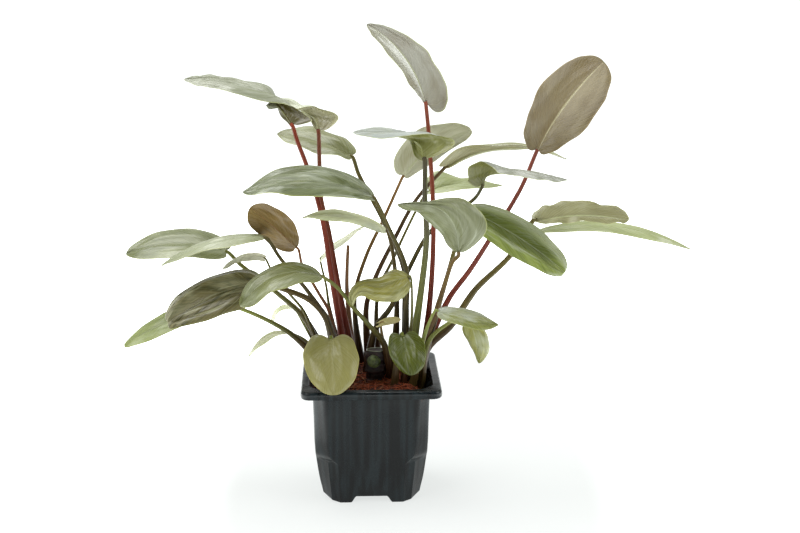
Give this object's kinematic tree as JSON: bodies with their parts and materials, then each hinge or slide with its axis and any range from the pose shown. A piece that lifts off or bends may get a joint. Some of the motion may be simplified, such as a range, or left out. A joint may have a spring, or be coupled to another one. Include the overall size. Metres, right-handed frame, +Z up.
{
  "type": "potted lagenandra",
  "caption": "Young marsh plant with long-stalked oval leaves, growing in coir in a small square nursery pot that stands on corner feet.",
  "frame": {"origin": "on the ground, under the middle of the whole plant's bounding box", "axes": "+Z up, -Y is the side the plant is seen from, +X to its right along the widest spread of the leaves"},
  "size_m": [0.2352, 0.087, 0.1896],
  "materials": {
    "black_plastic": "satin",
    "coir": "matte",
    "rhizome": "matte",
    "stalk_brown": "satin",
    "leaf_grey_green": "satin",
    "leaf_pale_green": "satin",
    "leaf_deep_green": "satin",
    "leaf_bright_green": "satin",
    "leaf_olive": "satin",
    "leaf_tan": "satin",
    "leaf_dead_brown": "matte",
    "leaf_cream": "satin"
  },
  "bodies": {
    "root": {"coir": "coir", "cut_stalk": "stalk_brown", "leaf_brown": "leaf_dead_brown", "leaf_centre_back": "leaf_grey_green", "leaf_centre_curled": "leaf_bright_green", "leaf_centre_top": "leaf_grey_green", "leaf_far_left": "leaf_pale_green", "leaf_far_right": "leaf_olive", "leaf_front_heart": "leaf_grey_green", "leaf_left_bright": "leaf_bright_green", "leaf_left_dark": "leaf_deep_green", "leaf_left_narrow": "leaf_grey_green", "leaf_left_tiny": "leaf_grey_green", "leaf_lower_left": "leaf_pale_green", "leaf_lower_left_small": "leaf_pale_green", "leaf_lower_left_thin": "leaf_pale_green", "leaf_lower_right": "leaf_bright_green", "leaf_lower_right_hanging": "leaf_pale_green", "leaf_middle_left": "leaf_grey_green", "leaf_middle_narrow": "leaf_grey_green", "leaf_middle_thin": "leaf_pale_green", "leaf_new": "leaf_cream", "leaf_pot_left": "leaf_olive", "leaf_pot_right": "leaf_bright_green", "leaf_right_dark": "leaf_deep_green", "leaf_right_long": "leaf_olive", "leaf_right_pale": "leaf_pale_green", "leaf_right_ruffled": "leaf_tan", "leaf_right_twisted": "leaf_grey_green", "leaf_top": "leaf_tan", "leaf_top_left": "leaf_grey_green", "leaf_top_left_small": "leaf_grey_green", "leaf_top_right": "leaf_tan", "leaf_upper_left_back": "leaf_grey_green", "pot": "black_plastic", "rhizome": "rhizome"}
  },
  "joints": []
}
